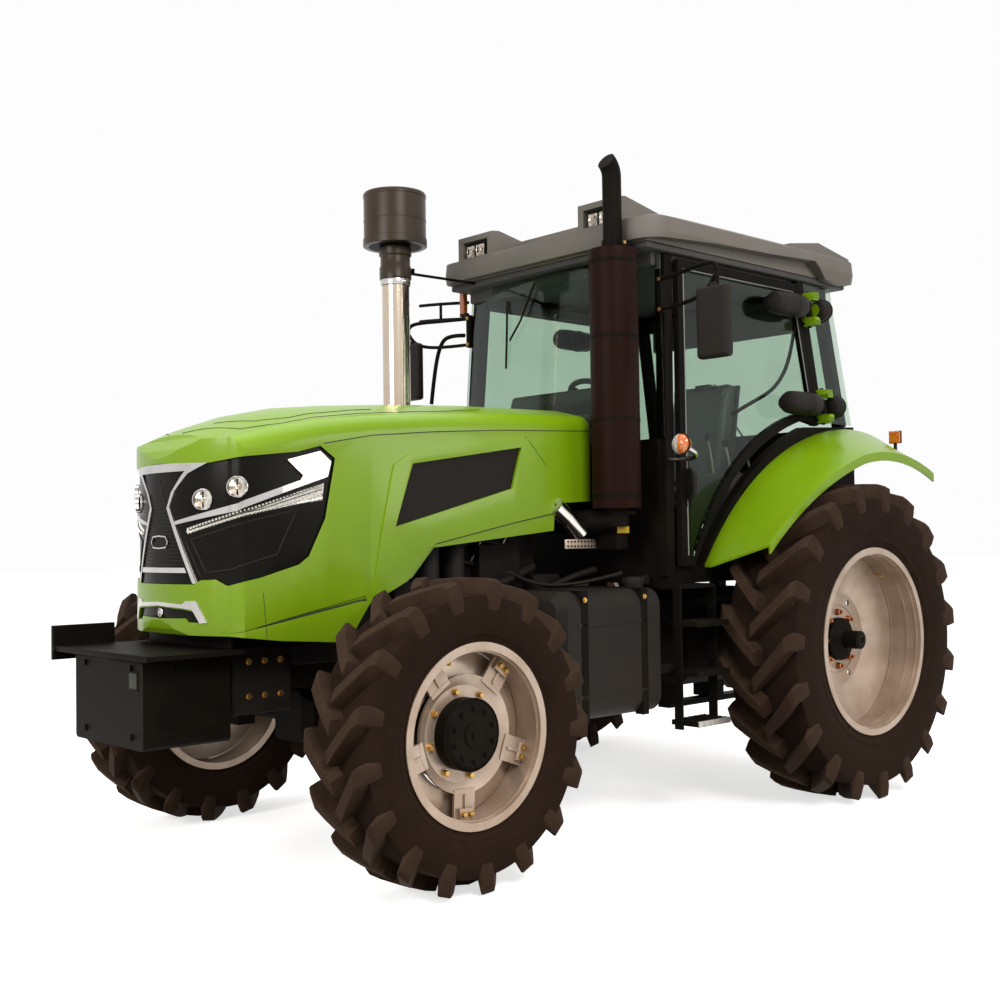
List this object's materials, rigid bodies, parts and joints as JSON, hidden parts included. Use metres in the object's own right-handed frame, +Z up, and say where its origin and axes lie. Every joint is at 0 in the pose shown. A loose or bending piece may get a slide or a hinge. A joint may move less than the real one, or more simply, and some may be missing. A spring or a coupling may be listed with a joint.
{
  "type": "farm tractor",
  "caption": "Four-wheel-drive farm tractor with glazed cab, deep-lug tyres, front ballast box, side exhaust stack and rear three-point hitch.",
  "frame": {"origin": "centre of the bounding box at ground level", "axes": "+Z up, the tractor faces -Y, +X is its left side"},
  "size_m": [2.721, 4.9339, 3.4339],
  "materials": {
    "green_paint": "gloss",
    "black_paint": "satin",
    "engine_iron": "rough",
    "silver_paint": "satin",
    "tyre_rubber": "matte",
    "black_plastic": "matte",
    "mask_black": "gloss",
    "roof_plastic": "matte",
    "cab_glass": "clear",
    "chrome": "polished",
    "lamp_clear": "gloss",
    "lamp_amber": "gloss",
    "seat_cover": "matte"
  },
  "bodies": {
    "root": {"fenders": "green_paint", "door_hinges": "green_paint", "front_frame": "black_paint", "front_ballast": "black_paint", "cab_base": "black_paint", "cab_frame": "black_paint", "steps": "black_paint", "battery_box": "black_paint", "transmission": "black_paint", "rear_axle": "black_paint", "front_axle": "black_paint", "drawbar": "black_paint", "exhaust": "black_paint", "air_cleaner": "black_paint", "engine": "engine_iron", "fuel_tank": "black_plastic", "mirrors": "black_plastic", "dashboard": "black_plastic", "roof": "roof_plastic", "windshield": "cab_glass", "rear_glass": "cab_glass", "roof_lamps": "lamp_clear", "signal_lamps": "lamp_amber", "seat": "seat_cover"},
    "left_knuckle": {"left_knuckle": "black_paint"},
    "right_knuckle": {"right_knuckle": "black_paint"},
    "front_left_wheel": {"front_left_tyre": "tyre_rubber", "front_left_rim": "silver_paint", "front_left_hub": "black_paint"},
    "front_right_wheel": {"front_right_tyre": "tyre_rubber", "front_right_rim": "silver_paint", "front_right_hub": "black_paint"},
    "rear_left_wheel": {"rear_left_tyre": "tyre_rubber", "rear_left_rim": "silver_paint", "rear_left_hub": "black_paint"},
    "rear_right_wheel": {"rear_right_tyre": "tyre_rubber", "rear_right_rim": "silver_paint", "rear_right_hub": "black_paint"},
    "bonnet": {"hood": "green_paint", "hood_mask": "mask_black", "hood_vents": "black_plastic", "hood_trim": "chrome", "headlamps": "lamp_clear"},
    "left_door": {"left_door": "black_paint", "left_door_glass": "cab_glass"},
    "right_door": {"right_door": "black_paint", "right_door_glass": "cab_glass"},
    "steering_wheel": {"steering_wheel": "black_plastic"},
    "lower_links": {"lower_links": "black_paint"},
    "lift_arms": {"lift_arms": "black_paint"},
    "lift_rods": {"lift_rods": "black_paint"}
  },
  "joints": [
    {"name": "left_steer", "type": "hinge", "parent": "root", "child": "left_knuckle", "pos_m": [0.775, -1.377, 0.645], "axis": [0, 0, 1], "range_deg": [-32, 32]},
    {"name": "right_steer", "type": "hinge", "parent": "root", "child": "right_knuckle", "pos_m": [-0.775, -1.377, 0.645], "axis": [0, 0, 1], "range_deg": [-32, 32]},
    {"name": "front_left_roll", "type": "hinge", "parent": "left_knuckle", "child": "front_left_wheel", "pos_m": [1.014, -1.377, 0.645], "axis": [1, 0, 0], "continuous": true},
    {"name": "front_right_roll", "type": "hinge", "parent": "right_knuckle", "child": "front_right_wheel", "pos_m": [-1.014, -1.377, 0.645], "axis": [1, 0, 0], "continuous": true},
    {"name": "rear_left_roll", "type": "hinge", "parent": "root", "child": "rear_left_wheel", "pos_m": [1.137, 1.383, 0.86], "axis": [1, 0, 0], "continuous": true},
    {"name": "rear_right_roll", "type": "hinge", "parent": "root", "child": "rear_right_wheel", "pos_m": [-1.137, 1.383, 0.86], "axis": [1, 0, 0], "continuous": true},
    {"name": "bonnet_lift", "type": "hinge", "parent": "root", "child": "bonnet", "pos_m": [0, -0.007, 2.02], "axis": [-1, 0, 0], "range_deg": [0, 38]},
    {"name": "left_door_swing", "type": "hinge", "parent": "root", "child": "left_door", "pos_m": [0.85386, 1.67356, 2.20096], "axis": [-0.0413, -0.1654, 0.9854], "range_deg": [0, 60]},
    {"name": "right_door_swing", "type": "hinge", "parent": "root", "child": "right_door", "pos_m": [-0.85386, 1.67356, 2.20096], "axis": [-0.0413, 0.1654, -0.9854], "range_deg": [0, 60]},
    {"name": "steering_wheel_turn", "type": "hinge", "parent": "root", "child": "steering_wheel", "pos_m": [0, 0.663, 2.24], "axis": [0, 0.5736, 0.8192], "continuous": true},
    {"name": "link_lift", "type": "hinge", "parent": "root", "child": "lower_links", "pos_m": [0.3, 1.608, 0.6], "axis": [1, 0, 0], "range_deg": [-8, 28]},
    {"name": "arm_lift", "type": "hinge", "parent": "root", "child": "lift_arms", "pos_m": [0.3, 1.588, 1.02], "axis": [1, 0, 0], "range_deg": [-8, 28]},
    {"name": "rod_swing", "type": "hinge", "parent": "lower_links", "child": "lift_rods", "pos_m": [0.3, 2.03995, 0.5046], "axis": [1, 0, 0], "range_deg": [-28, 8]}
  ],
  "couplings": [
    {"joint": "right_steer", "follows": "left_steer", "ratio": 1},
    {"joint": "arm_lift", "follows": "link_lift", "ratio": 1},
    {"joint": "rod_swing", "follows": "link_lift", "ratio": -1}
  ]
}
